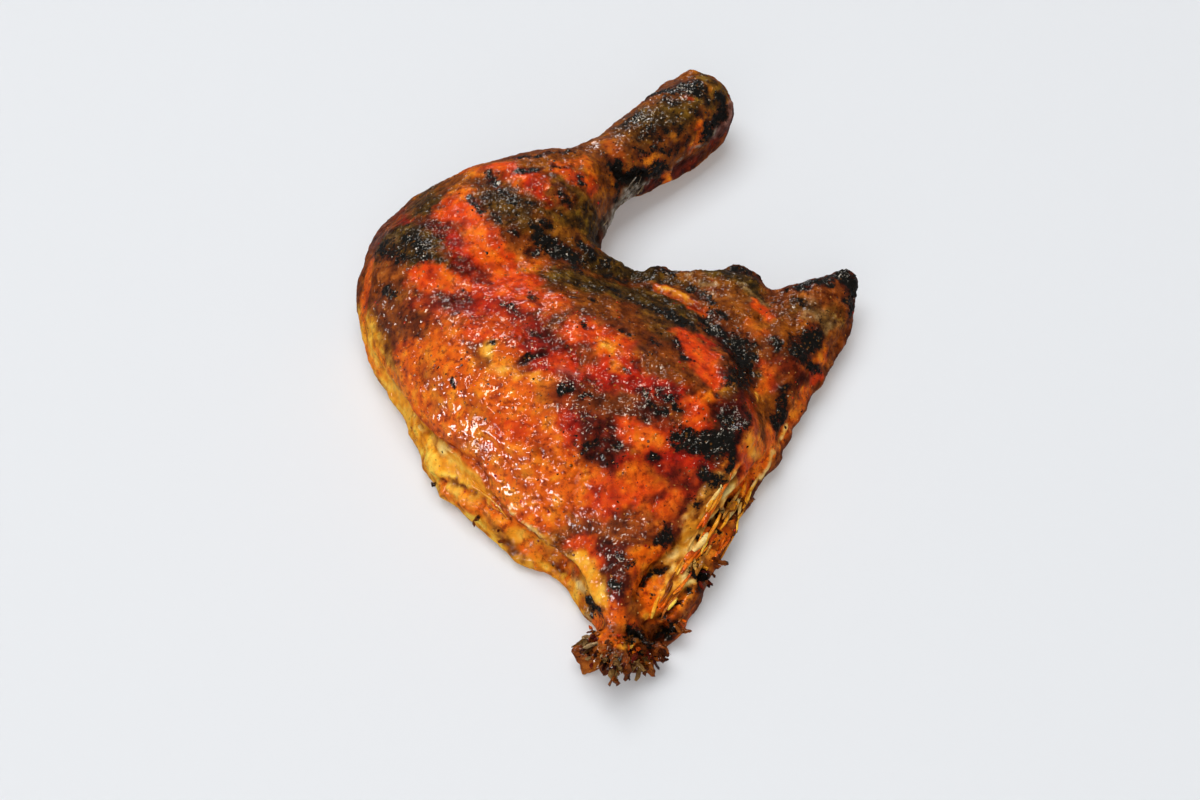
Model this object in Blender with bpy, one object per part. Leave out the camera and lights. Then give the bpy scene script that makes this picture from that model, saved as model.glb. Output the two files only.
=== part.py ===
"""Roast chicken leg quarter: drumstick, thigh and a piece of the back with its tail, lying skin side up.

One solid. It is worked out in millimetres from a point under its middle, +X to the right, +Y away from
the diner and +Z up from the surface that it lies on, then moved so that the middle of its footprint is
the origin, and scaled to metres.
"""

import math
import random

import bmesh
import bpy
import numpy as np
from mathutils import Matrix, Vector, noise

TRIANGLES = 12200  # before the flat underside is cut, which takes away about a seventh
VOXEL = 1.2
GRID = 1.6  # cell of the slabs that flesh and skin start as
CURVE_STEP = 1.2  # between points of a smoothed outline

# Edge of the flesh seen from above, clockwise from the crook between drumstick and back:
# x, y, height where the side is widest, and how far in the top rounds off.
FLESH_EDGE = [
    (-0.5, 37.0, 12.0, 8.0),
    (10.0, 30.5, 12.0, 6.0),
    (29.0, 29.5, 12.0, 5.0),
    (43.0, 32.0, 11.5, 5.0),  # shoulder of the back
    (53.0, 25.0, 11.0, 6.0),  # notch before the tail
    (66.0, 28.0, 12.0, 6.0),
    (76.5, 30.0, 13.0, 5.0),  # tail's tip
    (78.0, 19.0, 10.0, 6.0),
    (74.0, 5.0, 8.0, 6.0),
    (63.0, -14.0, 7.0, 6.0),
    (52.5, -35.0, 6.0, 6.0),
    (43.5, -48.5, 5.0, 8.0),  # torn hip side
    (33.0, -68.0, 4.0, 8.0),
    (27.5, -84.0, 3.5, 8.0),
    (18.0, -97.0, 3.5, 8.0),
    (3.0, -100.0, 4.0, 8.0),  # broken end
    (-4.5, -88.0, 3.5, 7.0),
    (-14.0, -74.5, 3.0, 7.0),
    (-25.0, -68.5, 3.0, 7.0),
    (-38.5, -54.0, 3.5, 8.0),
    (-50.5, -40.5, 4.0, 8.0),
    (-57.5, -22.5, 4.5, 8.0),
    (-69.5, -2.0, 7.0, 12.0),
    (-75.0, 15.0, 11.0, 18.0),  # knee
    (-74.5, 35.0, 13.0, 20.0),
    (-68.5, 52.0, 14.0, 21.0),
    (-53.0, 67.0, 14.0, 21.0),
    (-31.0, 75.5, 14.0, 20.0),  # calf
    (-10.0, 77.0, 15.0, 14.0),
    (2.0, 71.0, 14.0, 10.0),  # web of dry skin between shank and back
    (4.5, 60.0, 12.0, 8.0),
    (1.0, 49.0, 12.0, 8.0),
]

# Where the skin ends short of the flesh, in place of the points of FLESH_EDGE between the shoulder of
# the back and the knee.
TORN_EDGE = [
    (76.0, 18.0, 14.0, 6.0),
    (71.5, 5.0, 13.5, 6.0),
    (60.0, -13.5, 13.0, 6.0),
    (49.5, -34.5, 13.5, 6.0),
    (42.0, -46.5, 15.5, 6.0),
    (32.0, -61.5, 15.5, 7.0),
    (22.0, -73.5, 15.0, 7.0),
    (11.5, -81.5, 14.5, 6.0),
    (9.0, -91.0, 13.0, 5.0),
    (3.5, -97.5, 12.0, 5.0),
    (-2.5, -90.0, 13.0, 6.0),
    (-8.0, -77.5, 14.5, 8.0),
    (-20.5, -68.0, 15.0, 12.0),
    (-35.0, -51.0, 15.0, 14.0),
    (-46.5, -37.0, 15.0, 15.0),
    (-60.0, -17.5, 15.0, 16.0),
]
TAIL_POINT, KNEE_POINT = 6, 23  # in FLESH_EDGE
RAGGED = 1.3  # how far a torn edge wanders, in waves of about RAGGED_WAVE
RAGGED_WAVE = 5.0
WHOLE_LEVEL = 11.0  # an edge of the flesh whose widest level is this high is covered by skin
SKIN = 3.0  # thickness of the lip at the torn edge
FLESH_TOP = 13.5  # height of the flesh outside the lip
HIP_LINE = ((40.0, -50.0), (20.0, -90.0))  # along the torn hip side
HIP_WIDTH = 9.0
HIP_HOLLOW = 2.0  # how much lower the flesh is there
# Dark gaps between the torn strands and in the broken end: x, y, radius, depth.
GAPS = [
    (38.0, -53.5, 2.6, 6.0),
    (33.5, -60.0, 3.0, 6.0),
    (30.0, -67.0, 2.8, 5.0),
    (14.5, -95.5, 4.5, 7.0),
]

# What the skin is drawn over, as domes: x, y, half length, half width, turn in degrees, height.
DOMES = {
    "thigh": (-16.0, -16.0, 72.0, 48.0, -37.0, 37.5),
    "calf": (-27.0, 45.0, 60.0, 42.0, 42.0, 36.0),
    "knee": (-52.0, 22.0, 36.0, 34.0, 0.0, 31.0),
    "hip": (21.0, -25.0, 46.0, 28.0, -62.0, 30.0),
    "back": (28.0, 6.0, 46.0, 36.0, 0.0, 23.5),
    "flap": (50.0, -8.0, 38.0, 28.0, 62.0, 17.0),
    "tail": (64.0, 19.0, 24.0, 18.0, 30.0, 20.0),
    "rump": (9.0, -74.0, 40.0, 20.0, -76.0, 21.5),
}
BLEND = 4.0  # how softly one dome runs into the next

# Folds in the skin: from, to, half width, and rise or, if negative, depth.
FOLDS = [
    ((-1.0, 38.0), (-40.0, 8.0), 6.0, -1.8),  # between calf and thigh
    ((17.0, 25.0), (31.0, 14.0), 2.2, -2.6),  # split along the back
    ((6.0, 28.0), (46.0, 22.0), 3.5, 2.0),  # ridge of the back
    ((36.0, -14.0), (42.5, -40.0), 4.0, 3.2),  # ridge before the flap
    ((42.5, -40.0), (33.0, -58.0), 4.0, 2.0),
    ((51.0, 8.0), (58.0, -18.0), 3.0, 1.6),
    ((52.0, 22.0), (50.0, 6.0), 4.0, -3.0),  # between back and tail
    ((-36.0, 52.0), (-3.0, 35.0), 3.0, -1.4),  # across the calf
    ((-44.0, 62.0), (-12.0, 44.0), 3.0, 1.2),
    ((-40.0, 2.0), (8.0, -33.0), 3.5, -1.5),  # sunken band across the thigh
    ((-26.0, -45.0), (-8.0, -52.0), 2.5, 1.3),
    ((-46.0, -20.0), (-20.0, -48.0), 3.5, 1.0),
    ((8.0, -55.0), (-8.0, -46.0), 5.0, 1.8),
    ((-64.0, 38.0), (-50.0, 18.0), 4.0, 1.5),  # burnt patch on the knee
]

# The lower drumstick, from inside the calf to the ankle: x, y, z, radius.
SHANK = [
    (-30.0, 50.0, 19.0, 15.0),
    (-12.0, 61.0, 18.0, 13.0),
    (4.0, 73.5, 17.0, 11.3),
    (14.5, 84.5, 16.5, 12.0),
    (24.0, 93.0, 16.5, 12.6),
    (31.0, 100.5, 16.0, 12.4),
]
# Lumps that stand out of the shank and its burnt end: x, y, z, radius.
KNOBS = [
    (24.0, 103.0, 18.5, 6.5),
    (31.0, 106.5, 18.5, 6.0),
    (39.5, 101.5, 15.0, 4.5),
    (34.5, 94.0, 10.0, 4.5),
    (12.0, 88.5, 18.5, 5.0),
    (24.0, 86.5, 9.0, 5.0),
    (42.0, 28.5, 15.5, 4.5),
    (46.5, 26.5, 13.5, 4.0),
    (17.0, 27.5, 16.5, 4.5),
    (75.0, 27.0, 13.5, 4.5),
]
# Rim of the skin's sleeve, from the burnt end back along the side that faces the bay: x, y, z, radius.
SLEEVE_RIM = [
    (36.5, 106.0, 21.0, 2.2),
    (40.0, 102.0, 17.0, 2.3),
    (39.5, 95.5, 11.0, 2.4),
    (31.5, 86.5, 8.5, 2.4),
    (22.5, 78.0, 9.0, 2.2),
    (11.5, 68.0, 11.5, 2.0),
]

# Torn muscle strands along the hip
STRANDS = 12
STRAND_RADIUS = (1.5, 2.6)
STRAND_LENGTH = (16.0, 32.0)

# Brittle splinters of bone and meat at the broken end
SPLINTERS = 16
SPLINTER_ROOT = (5.0, -95.0, 7.0)
SPLINTER_REACH = (11.0, 19.0)
SPLINTER_FAN = (192.0, 335.0)  # directions in degrees, across the diner's side

# The underside bears on flat patches and is lifted outside them: x, y, half length, half width, turn.
BEARING = [
    (-18.0, -18.0, 66.0, 40.0, -38.0),
    (-46.0, 28.0, 32.0, 26.0, 40.0),
    (10.0, -74.0, 34.0, 17.0, -70.0),
    (26.0, 2.0, 30.0, 20.0, 20.0),
]
LIFT = 6.5
UNDER_ROUNDING = 0.9  # radius of the lower side for each millimetre of its widest level
BELOW = 1.5  # how far the bearing patches pass below the cut that makes them flat
# Hollows of the underside: along the backbone, between calf and thigh, and under the thigh's flank.
HOLLOWS = [
    (27.0, -12.0, 46.0, 19.0, -64.0, 9.0),
    (-28.0, 22.0, 34.0, 9.0, -38.0, 6.0),
    (-16.0, -46.0, 24.0, 10.0, -40.0, 4.5),
    (-52.0, 34.0, 15.0, 9.0, 50.0, 4.0),
]

LUMPS = (0.55, 0.09)  # unevenness all over: size and how closely it repeats
CRUST = (0.75, 0.3)  # finer and sharper, where the skin is charred
CHARRED = [
    (28.0, 98.0, 20.0, 22.0),  # x, y, z, radius of ankle, tail, back, thigh, knee and broken end
    (72.0, 24.0, 15.0, 12.0),
    (30.0, 20.0, 20.0, 18.0),
    (0.0, -46.0, 35.0, 14.0),
    (-60.0, 32.0, 26.0, 12.0),
    (6.0, -101.0, 8.0, 15.0),
]

GLAZED_SKIN = (0.36, 0.09, 0.022, 1.0)


def smoothed(points, step, closed=True):
    """Points every step along the Catmull-Rom curve through points, of any number of columns."""
    knots = np.array(points, float)
    if not closed:
        knots = np.vstack([2 * knots[0] - knots[1], knots, 2 * knots[-1] - knots[-2]])
    made = []
    for i in range(len(knots)) if closed else range(1, len(knots) - 2):
        a, b, c, d = (knots[(i + j) % len(knots)] for j in (-1, 0, 1, 2))
        pieces = max(1, round(math.dist(b[:2], c[:2]) / step))
        for t in np.arange(pieces) / pieces:
            bend = (2 * a - 5 * b + 4 * c - d) * t**2 + (3 * b - a - 3 * c + d) * t**3
            made.append(0.5 * (2 * b + (c - a) * t + bend))
    return np.array(made if closed else [*made, knots[-2]])


def ragged(edge, amounts):
    """The outline, wandering sideways by up to RAGGED times each point's amount."""
    ahead, behind = np.roll(edge, -1, axis=0), np.roll(edge, 1, axis=0)
    along = (ahead - behind)[:, :2]
    out = np.stack([along[:, 1], -along[:, 0]], axis=1) / np.hypot(*along.T)[:, None]
    waves = [noise.fractal(Vector((x, y, 0)) / RAGGED_WAVE, 0.8, 2.0, 3) for x, y in edge[:, :2]]
    moved = edge.copy()
    moved[:, :2] += out * (RAGGED * amounts * np.array(waves))[:, None]
    return moved


def inside(edge, x, y):
    """Which of the points x, y lie in the closed outline edge, by counting crossings."""
    found = np.zeros(len(x), bool)
    for (ax, ay), (bx, by) in zip(edge[:, :2], np.roll(edge[:, :2], -1, axis=0)):
        if ay != by:
            found ^= ((ay > y) != (by > y)) & (x < (bx - ax) * (y - ay) / (by - ay) + ax)
    return found


def ellipse(x, y, cx, cy, half_length, half_width, turn):
    """Square of the distance from the middle of a turned ellipse, 1 on its edge."""
    c, s = math.cos(math.radians(turn)), math.sin(math.radians(turn))
    u = ((x - cx) * c + (y - cy) * s) / half_length
    v = ((y - cy) * c - (x - cx) * s) / half_width
    return u * u + v * v


def off_line(x, y, start, end):
    """Distance from the straight line between two points."""
    (ax, ay), (bx, by) = start, end
    along = ((x - ax) * (bx - ax) + (y - ay) * (by - ay)) / math.dist(start, end) ** 2
    along = np.clip(along, 0, 1)
    return np.hypot(x - ax - along * (bx - ax), y - ay - along * (by - ay))


def rounded(distance, radius):
    """Rise of a quarter circle, from 0 at the edge to 1 at radius from it."""
    return np.sqrt(1 - (1 - np.clip(distance / radius, 0, 1)) ** 2)


def skin_height(x, y):
    """Height of the skin: the domes, each running softly into the next, with its folds."""
    total = np.ones(len(x))
    for *place, height in DOMES.values():
        dome = height * np.sqrt(np.clip(1 - ellipse(x, y, *place), 0, 1))
        total += np.expm1(dome / BLEND)
    skin = BLEND * np.log(total)
    for start, end, half_width, rise in FOLDS:
        skin += rise * np.exp(-((off_line(x, y, start, end) / half_width) ** 2))
    return skin


def flesh_height(x, y):
    """Height of the flesh where the skin is torn away."""
    hollow = HIP_HOLLOW * np.exp(-((off_line(x, y, *HIP_LINE) / HIP_WIDTH) ** 4))
    for gap_x, gap_y, radius, depth in GAPS:
        hollow += depth * np.exp(-(((x - gap_x) ** 2 + (y - gap_y) ** 2) / radius**2) ** 2)
    return np.minimum(skin_height(x, y) - SKIN, FLESH_TOP - hollow)


def under_height(x, y):
    """Height of the underside, below zero where the flat cut is to make it bear."""
    off = np.min([ellipse(x, y, *place) for place in BEARING], axis=0)
    under = LIFT * np.clip(off - 1, 0, 1) - BELOW
    for *place, depth in HOLLOWS:
        under += depth * np.clip(1 - ellipse(x, y, *place), 0, 1)
    return under


def slab(name, edge, top_of, bottom_of):
    """A sheet of grid cells inside the outline, extruded between two heights, its side rounded off."""
    low, high = edge[:, :2].min(axis=0) - GRID, edge[:, :2].max(axis=0) + GRID
    cells = np.ceil((high - low) / GRID).astype(int)
    bm = bmesh.new()
    bmesh.ops.create_grid(bm, x_segments=int(cells[0]), y_segments=int(cells[1]), size=0.5)
    for v in bm.verts:
        v.co.x = low[0] + (v.co.x + 0.5) * cells[0] * GRID
        v.co.y = low[1] + (v.co.y + 0.5) * cells[1] * GRID
    middles = np.array([f.calc_center_median() for f in bm.faces])
    kept = inside(edge, middles[:, 0], middles[:, 1])
    bmesh.ops.delete(bm, geom=[f for f, k in zip(list(bm.faces), kept) if not k], context="FACES")
    for v in bm.verts:
        if v.is_boundary:
            gaps = np.hypot(edge[:, 0] - v.co.x, edge[:, 1] - v.co.y)
            v.co.x, v.co.y = edge[gaps.argmin(), :2]
    lower = list(bm.verts)
    made = bmesh.ops.extrude_face_region(bm, geom=list(bm.faces))
    upper = [g for g in made["geom"] if isinstance(g, bmesh.types.BMVert)]
    for verts, is_top in ((lower, False), (upper, True)):
        x, y = np.array([v.co[:2] for v in verts]).T
        gaps = np.hypot(edge[:, 0] - x[:, None], edge[:, 1] - y[:, None])
        distance = gaps.min(axis=1)
        nearness = np.exp(-2 * (gaps / (distance[:, None] + 3)) ** 2)
        level, rounding = (nearness @ edge[:, 2:] / nearness.sum(axis=1)[:, None]).T
        if is_top:
            start = level + 1
            end = np.maximum(top_of(x, y), start)
        else:
            start, end, rounding = level, bottom_of(x, y, level), UNDER_ROUNDING * level
        for v, z in zip(verts, start + (end - start) * rounded(distance, rounding)):
            v.co.z = z
    bmesh.ops.recalc_face_normals(bm, faces=bm.faces)
    return object_of(bm, name)


def object_of(bm, name):
    mesh = bpy.data.meshes.new(name)
    bm.to_mesh(mesh)
    bm.free()
    made = bpy.data.objects.new(name, mesh)
    bpy.context.scene.collection.objects.link(made)
    return made


def flesh():
    """The whole footprint, with a flat-bottomed underside and the ledges that the torn skin leaves bare."""
    edge = smoothed(FLESH_EDGE, CURVE_STEP)
    bare = np.clip((WHOLE_LEVEL - edge[:, 2]) / 4, 0, 1)
    return slab("flesh", ragged(edge, bare), flesh_height, lambda x, y, level: under_height(x, y))


def skin():
    """The skin with all that it is drawn over, ending in a lip over the flesh on its torn sides."""
    outline = FLESH_EDGE[: TAIL_POINT + 1] + TORN_EDGE + FLESH_EDGE[KNEE_POINT:]
    edge = ragged(smoothed(outline, CURVE_STEP), 0.5)
    return slab("skin", edge, skin_height, lambda x, y, level: level - SKIN)


def balls(name, rounds):
    """Overlapping balls, each given by x, y, z and radius."""
    bm = bmesh.new()
    for x, y, z, radius in rounds:
        place = Matrix.Translation((x, y, z))
        bmesh.ops.create_icosphere(bm, subdivisions=3, radius=radius, matrix=place)
    return object_of(bm, name)


def shank():
    """The lower drumstick with the lumps of its burnt end and the rim of its sleeve of skin."""
    tube = smoothed(SHANK, 2.0, closed=False)
    rim = smoothed(SLEEVE_RIM, 1.0, closed=False)
    return balls("shank", [*tube, *rim, *KNOBS])


def strands(draw):
    """Muscle strands along the hip, lying across each other between the skin's lip and the ledge."""
    start, end = Vector(HIP_LINE[0]), Vector(HIP_LINE[1])
    along = (end - start).normalized()
    out = Vector((-along.y, along.x))
    rounds = []
    for i in range(STRANDS):
        reach = draw.uniform(*STRAND_LENGTH)
        radius = draw.uniform(*STRAND_RADIUS)
        first = draw.uniform(0, (end - start).length - reach)
        aside = draw.uniform(-4, 4)
        turn = draw.uniform(-3, 3)
        for step in np.linspace(0, 1, int(reach / radius * 1.6)):
            off = aside + turn * (step - 0.5) + 0.7 * math.sin(7 * step + i)
            place = start + along * (first + reach * step) + out * off
            height = 12.0 - 0.8 * off - 2 * (first + reach * step) / (end - start).length
            rounds.append((place.x, place.y, height, radius * (0.6 + 0.4 * math.sin(math.pi * step))))
    return balls("strands", rounds)


def splinters(draw):
    """Brittle pointed pieces that fan out from the broken end."""
    bm = bmesh.new()
    first, last = SPLINTER_FAN
    for i in range(SPLINTERS):
        turn = math.radians(first + (last - first) * (i + draw.random()) / SPLINTERS)
        tilt = math.radians(draw.uniform(-18, 22))
        reach = draw.uniform(*SPLINTER_REACH)
        place = (
            Matrix.Translation(Vector(SPLINTER_ROOT) + Vector((0, 0, draw.uniform(-3.5, 4))))
            @ Matrix.Rotation(turn, 4, "Z")
            @ Matrix.Rotation(-tilt, 4, "Y")
            @ Matrix.Rotation(draw.uniform(0, math.pi), 4, "X")
            @ Matrix.Diagonal((reach / 2, draw.uniform(2.0, 3.2), draw.uniform(1.2, 2.0), 1))
            @ Matrix.Translation((0.9, 0, 0))
        )
        bmesh.ops.create_icosphere(bm, subdivisions=2, radius=1, matrix=place)
    return object_of(bm, "splinters")


def joined(objects, name):
    bm = bmesh.new()
    for obj in objects:
        bm.from_mesh(obj.data)
        bpy.data.objects.remove(obj)
    return object_of(bm, name)


def applied(obj, kind, **settings):
    """Gives obj the mesh that one modifier of that kind makes of it."""
    modifier = obj.modifiers.new(kind.title(), kind)
    for name, value in settings.items():
        setattr(modifier, name, value)
    graph = bpy.context.evaluated_depsgraph_get()
    mesh = bpy.data.meshes.new_from_object(obj.evaluated_get(graph))
    obj.modifiers.clear()
    before, obj.data = obj.data, mesh
    bpy.data.meshes.remove(before)


def roughen(mesh):
    """Moves the surface in and out: soft lumps all over, and crust where it is charred."""
    normals = [v.normal.copy() for v in mesh.vertices]
    for v, normal in zip(mesh.vertices, normals):
        size, often = LUMPS
        move = size * noise.fractal(v.co * often, 0.9, 2.0, 3)
        char = max(1 - (v.co - Vector(spot[:3])).length / spot[3] for spot in CHARRED)
        if char > 0:
            size, often = CRUST
            move += size * min(1, 2 * char) * noise.turbulence(v.co * often, 2, True)
        v.co += normal * move


def largest_body(mesh):
    """Removes every loose scrap and sealed hollow, keeping the outer surface."""
    bm = bmesh.new()
    bm.from_mesh(mesh)
    left, bodies = set(bm.verts), []
    while left:
        body, front = set(), [left.pop()]
        while front:
            v = front.pop()
            body.add(v)
            for e in v.link_edges:
                other = e.other_vert(v)
                if other in left:
                    left.remove(other)
                    front.append(other)
        bodies.append(body)
    bodies.sort(key=len)
    bmesh.ops.delete(bm, geom=[v for body in bodies[:-1] for v in body], context="VERTS")
    bm.to_mesh(mesh)
    bm.free()


def cut_flat(obj):
    """Cuts off what is below the surface that the quarter lies on."""
    bm = bmesh.new()
    place = Matrix.Translation((0, 0, -10)) @ Matrix.Diagonal((400, 400, 20, 1))
    bmesh.ops.create_cube(bm, size=1, matrix=place)
    cutter = object_of(bm, "below")
    applied(obj, "BOOLEAN", operation="DIFFERENCE", object=cutter)
    bpy.data.objects.remove(cutter)
    bm = bmesh.new()
    bm.from_mesh(obj.data)
    bmesh.ops.dissolve_degenerate(bm, dist=0.02, edges=bm.edges)
    bmesh.ops.triangulate(bm, faces=bm.faces)
    bm.to_mesh(obj.data)
    bm.free()


def to_origin(mesh):
    """Puts the middle of the footprint at the origin, and scales millimetres to metres."""
    points = np.array([v.co for v in mesh.vertices])
    middle = (points.min(axis=0) + points.max(axis=0)) / 2
    mesh.transform(Matrix.Scale(0.001, 4) @ Matrix.Translation((-middle[0], -middle[1], 0)))


def finished(obj):
    material = bpy.data.materials.new("glazed_skin")
    material.use_nodes = True
    shader = material.node_tree.nodes["Principled BSDF"]
    shader.inputs["Base Color"].default_value = GLAZED_SKIN
    shader.inputs["Roughness"].default_value = 0.3
    obj.data.materials.append(material)
    obj.data.shade_smooth()


def build():
    for obj in list(bpy.data.objects):
        bpy.data.objects.remove(obj)
    draw = random.Random(7)
    pieces = [flesh(), skin(), shank(), strands(draw), splinters(draw)]
    quarter = joined(pieces, "leg_quarter")
    applied(quarter, "REMESH", mode="VOXEL", voxel_size=VOXEL)
    largest_body(quarter.data)
    applied(quarter, "SMOOTH", factor=0.5, iterations=3)
    roughen(quarter.data)
    faces = sum(len(p.vertices) - 2 for p in quarter.data.polygons)
    applied(quarter, "DECIMATE", ratio=TRIANGLES / faces)
    cut_flat(quarter)
    to_origin(quarter.data)
    finished(quarter)


build()
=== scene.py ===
"""Looks of the roast leg quarter: glazed and charred skin, bare meat at the torn sides, loose strands,
brittle splinters, crumbs of char and beads of glaze.

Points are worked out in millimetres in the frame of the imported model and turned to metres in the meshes.
A pixel is a place in the 1200 by 800 photograph; what is painted there is laid on the surface where the
camera's ray through that pixel meets it, and spreads over the surface by its true distance.
"""

import math
import random
from itertools import product

import bmesh
import bpy
import numpy as np
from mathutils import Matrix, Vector
from mathutils.bvhtree import BVHTree


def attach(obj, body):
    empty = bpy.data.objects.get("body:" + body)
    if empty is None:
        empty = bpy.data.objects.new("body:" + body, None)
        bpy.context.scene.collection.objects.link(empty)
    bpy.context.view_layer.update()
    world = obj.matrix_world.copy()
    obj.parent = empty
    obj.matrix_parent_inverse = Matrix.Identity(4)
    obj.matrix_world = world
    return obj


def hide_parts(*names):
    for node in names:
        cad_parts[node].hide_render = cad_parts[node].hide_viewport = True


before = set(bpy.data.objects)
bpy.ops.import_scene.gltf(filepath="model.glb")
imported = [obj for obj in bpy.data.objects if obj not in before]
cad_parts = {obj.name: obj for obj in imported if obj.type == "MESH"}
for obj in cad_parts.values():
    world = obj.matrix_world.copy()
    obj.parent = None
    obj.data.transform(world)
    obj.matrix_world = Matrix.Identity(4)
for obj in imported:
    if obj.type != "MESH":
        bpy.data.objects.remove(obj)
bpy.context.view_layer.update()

MM = 0.001
CELL = 0.72  # of the remeshed surface
CAST_SMOOTHING = 10  # rounds

# The photograph's camera, in millimetres
PHOTO_WIDTH, PHOTO_HEIGHT = 1200, 800
SENSOR = 36.0
LENS = 60.84
PITCH = math.radians(52.15)
DISTANCE = 600.0
LOOK_AT = np.array([-2.4, -20.3, 13.3])
BACKWARD = np.array([0.0, -math.cos(PITCH), math.sin(PITCH)])
UPWARD = np.array([0.0, math.sin(PITCH), math.cos(PITCH)])
CAMERA = LOOK_AT + DISTANCE * BACKWARD
MISSED_HEIGHT = 8.0  # where a ray that misses the meat is taken to end
LIGHTS_AWAY = 2.6  # in metres

# Kinds of surface. Each has a deep, a middle and a light colour (sRGB, 0 to 255), how much clear glaze
# lies on it, its relief in millimetres (blisters, fibres and fine grain), how mottled it is, how
# gritty, and how freely burnt flecks lie in it.
KINDS = """
brown 60,20,3 122,52,8 176,88,22 .8 .12 0 .12 .8 .5 .24
amber 78,32,2 136,66,5 190,106,18 .9 .2 0 .12 .8 .5 .18
orange 164,48,4 232,98,8 251,150,30 .75 .05 0 .07 .85 .2 .06
glow 150,32,4 224,64,6 250,106,16 .7 .05 0 .08 .6 .3 .1
red 84,7,3 178,24,3 228,56,8 .7 .06 0 .1 .7 .4 .14
wine 28,4,3 78,12,4 140,34,12 .65 .15 0 .14 .8 .5 .26
olive 26,20,3 78,54,8 140,104,28 .8 .32 0 .2 .9 1 .36
gold 214,110,12 245,160,34 253,206,84 .8 .03 .05 .08 .3 .1 .02
ochre 176,84,8 242,156,28 254,212,80 .4 .03 .35 .15 .5 .1 .08
cream 168,88,18 230,168,66 250,224,146 .3 0 .6 .12 .4 0 .02
dry 104,70,32 160,122,70 216,190,146 .2 .05 .2 .2 .8 .5 .15
web 52,40,30 116,102,86 196,188,176 .5 .02 .4 .12 .9 .3 .14
plum 46,18,14 92,48,40 158,112,100 .5 .1 .2 .15 .8 .4 .2
rust 62,22,3 140,64,14 202,112,38 .4 .2 .15 .3 .9 .8 .28
"""
COLUMNS = "deep middle light glaze blisters fibres grain mottle grit flecks".split()
KIND_ROWS = [line.split() for line in KINDS.strip().splitlines()]
KIND_NAMES = [row[0] for row in KIND_ROWS]
BROWNED = ("brown", "red", "wine", "amber", "glow", "orange")  # kinds that beads of glaze lie on
# Burnt crust lies over any of these, and has its own relief.
CHAR_BLISTERS, CHAR_GRAIN, CHAR_GLAZE = 0.42, 0.28, 0.6
CHAR_COLOUR, CRUMB_COLOUR, SEED_COLOUR = (13, 10, 6), (150, 92, 30), (240, 180, 96)
BROKEN_END = -104.0  # how far forward the browned meat of the broken end begins, in millimetres
WIDEST_POOL = 2.8  # half width in millimetres; wider ridges are lumps of skin and not pools of glaze

# Painted edges wander by a first number of millimetres, in waves as long as the second.
BROAD_WANDER, FINE_WANDER, WET_WANDER = (1.6, 7.0), (0.9, 2.4), (1.4, 5.0)
FRAYS = ((0.6, 4.4), (0.6, 2.3), (0.4, 1.4))  # strength and size of what frays an edge
# Where a field's edge lies, in half widths, and how soft it is; then what a ragged edge adds to both
EDGE, SOFTNESS, RAGGED_SHIFT, RAGGED_SOFTNESS = 0.8, 0.4, 0.6, 0.5
DAMP = 0.42  # how wet the skin is at most where no line of WET says so
GRITTY_WET = 0.45

# Relief in millimetres: height and size of its waves
SKIN_WAVES, FINE_GRAIN_SIZE, BLISTER_SIZE = (0.30, 6.0), 2.6, 2.1
FIBRE_HEIGHT, FIBRE_SIZE = 1.1, 2.0
FIBRE_STRETCH = 0.86
HIP_RUN, LEDGE_RUN = np.array([-0.45, -0.89, 0.05]), np.array([0.62, -0.78, 0.0])  # of the fibres
LEDGE_END = 12  # X in millimetres; the fibres run like the hip's beyond it
RESTING = 0.6  # height above the floor in millimetres below which the relief fades out
# How much a dent darkens the colour, as painted shade in creases and gaps, which on the two knobs at the
# back's edge adds to their char, and how much a dent dulls the glaze
DENT_PAINTED_SHADE, DENT_DULL = 0.75, 0.7

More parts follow.
